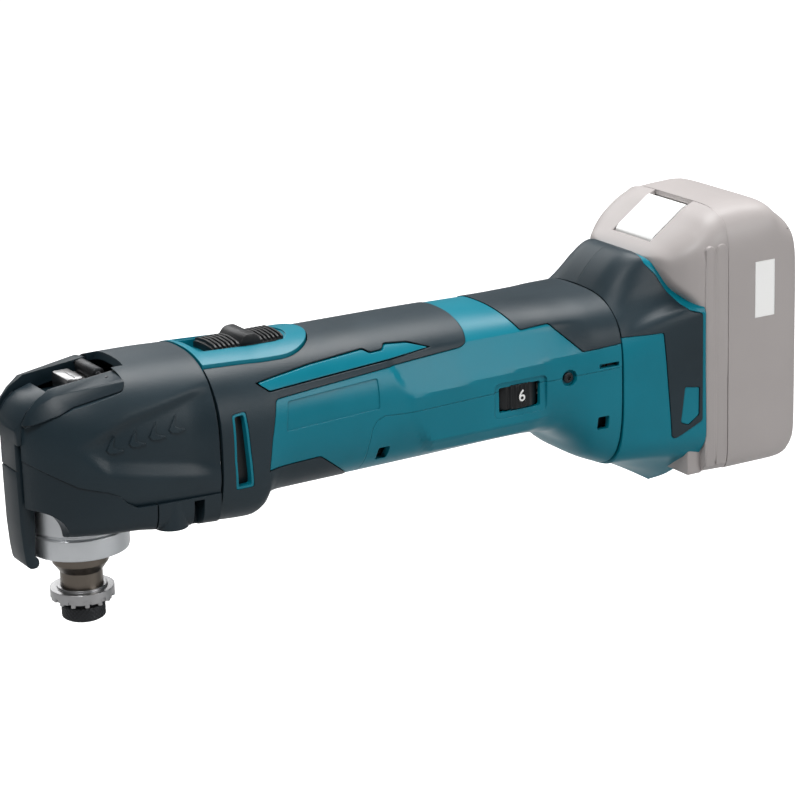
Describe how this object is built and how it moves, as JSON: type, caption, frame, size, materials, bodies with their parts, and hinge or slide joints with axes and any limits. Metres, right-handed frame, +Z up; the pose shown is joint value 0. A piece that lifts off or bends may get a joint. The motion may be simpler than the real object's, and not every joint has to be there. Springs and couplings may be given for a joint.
{
  "type": "cordless oscillating multi-tool",
  "caption": "Cordless oscillating multi-tool with lever-locked accessory holder, slide switch, speed wheel and slide-on battery, built from its real pieces.",
  "frame": {"origin": "on the output spindle's axis, in the plane of the flange face where an accessory seats", "axes": "+Z up along the spindle, away from the accessory; +X along the handle to the battery; +Y completes the right-handed set"},
  "size_m": [0.3348, 0.076, 0.1241],
  "materials": {
    "teal_plastic": "satin moulded",
    "dark_rubber": "fine leather grain",
    "black_rubber": "plain",
    "dark_plastic": "satin moulded",
    "black_plastic": "satin moulded",
    "pale_plastic": "satin moulded",
    "white_plastic": "satin",
    "nose_alloy": "satin cast",
    "steel": "ground",
    "black_steel": "blackened",
    "bronze_steel": "hardened, bronze tint",
    "magnet": "matt",
    "copper": "varnished copper",
    "brass": "plain",
    "carbon": "matt",
    "cell_wrap": "shrink wrap",
    "wire": "insulated",
    "board": "lacquered",
    "lens": "clear"
  },
  "bodies": {
    "housing": {"head_boot": "dark_rubber", "lower_head_cover": "dark_plastic", "gear_housing": "nose_alloy", "clamp_spring": "steel", "lower_spindle_bearing": "steel", "upper_spindle_bearing": "steel", "spindle_seal": "black_rubber", "motor_can": "steel", "motor_magnets": "magnet", "carbon_brushes": "carbon", "brush_holders": "brass", "front_motor_bearing": "steel", "rear_motor_bearing": "steel", "upper_housing": "teal_plastic", "lower_housing": "teal_plastic", "front_grip": "dark_rubber", "rear_grip": "dark_rubber", "belly_strip": "dark_rubber", "side_inlays": "teal_plastic", "vent_frames": "teal_plastic", "switch_panel": "teal_plastic", "dial_potentiometer": "black_plastic", "rear_housing_left": "teal_plastic", "rear_housing_right": "teal_plastic", "rear_cushion_left": "dark_rubber", "rear_cushion_right": "dark_rubber", "terminal_block": "black_plastic", "lead_wires": "wire", "housing_screws": "black_steel", "head_screws": "steel", "switch_unit": "black_plastic", "motor_controller": "board", "isolator_ring": "black_rubber", "job_light_lens": "lens", "job_light_board": "board"},
    "lever": {"lock_lever": "dark_plastic", "lever_cam": "steel", "lever_pivot_pin": "steel"},
    "clamp": {"clamp_shaft": "steel"},
    "spindle": {"output_spindle": "bronze_steel", "tool_flange": "steel", "swing_fork": "steel"},
    "holder": {"holder_bolt": "black_steel"},
    "rotor": {"motor_shaft": "steel", "armature_core": "steel", "armature_windings": "copper", "commutator": "copper", "cooling_fan": "dark_plastic", "eccentric_sleeve": "steel", "eccentric_bearing": "steel"},
    "switch": {"switch_slider": "black_plastic", "switch_rod": "dark_plastic"},
    "dial": {"speed_dial": "dark_plastic"},
    "battery": {"battery_front_case": "pale_plastic", "battery_rear_case": "pale_plastic", "battery_cells": "cell_wrap", "battery_board": "board", "battery_cell_cradle": "black_plastic", "battery_label": "white_plastic"},
    "battery_release": {"battery_button": "white_plastic"}
  },
  "joints": [
    {"name": "lever_swing", "type": "hinge", "parent": "housing", "child": "lever", "pos_m": [0.0085, 0, 0.0876], "axis": [0, 1, 0], "range_deg": [0, 90]},
    {"name": "clamp_press", "type": "slide", "parent": "housing", "child": "clamp", "axis": [0, 0, -1], "range_m": [0, 0.0009], "deforming": ["clamp_spring"]},
    {"name": "spindle_swing", "type": "hinge", "parent": "housing", "child": "spindle", "pos_m": [0, 0, 0], "axis": [0, 0, 1], "range_deg": [-1.6, 1.6]},
    {"name": "holder_release", "type": "slide", "parent": "spindle", "child": "holder", "axis": [0, 0, -1], "range_m": [0, 0.04]},
    {"name": "motor_spin", "type": "hinge", "parent": "housing", "child": "rotor", "pos_m": [0.1, 0, 0.0586], "axis": [1, 0, 0], "continuous": true},
    {"name": "switch_slide", "type": "slide", "parent": "housing", "child": "switch", "axis": [-1, 0, 0], "range_m": [0, 0.005]},
    {"name": "dial_turn", "type": "hinge", "parent": "housing", "child": "dial", "pos_m": [0.1776, -0.0174, 0.0543], "axis": [0, 0, 1], "range_deg": [-125, 125]},
    {"name": "battery_removal", "type": "slide", "parent": "housing", "child": "battery", "axis": [0, 0, 1], "range_m": [0, 0.115]},
    {"name": "battery_release_press", "type": "slide", "parent": "battery", "child": "battery_release", "axis": [1, 0, 0], "range_m": [0, 0.003]}
  ],
  "couplings": [
    {"joint": "clamp_press", "follows": "lever_swing", "m_per_rad": 0.00057295}
  ]
}
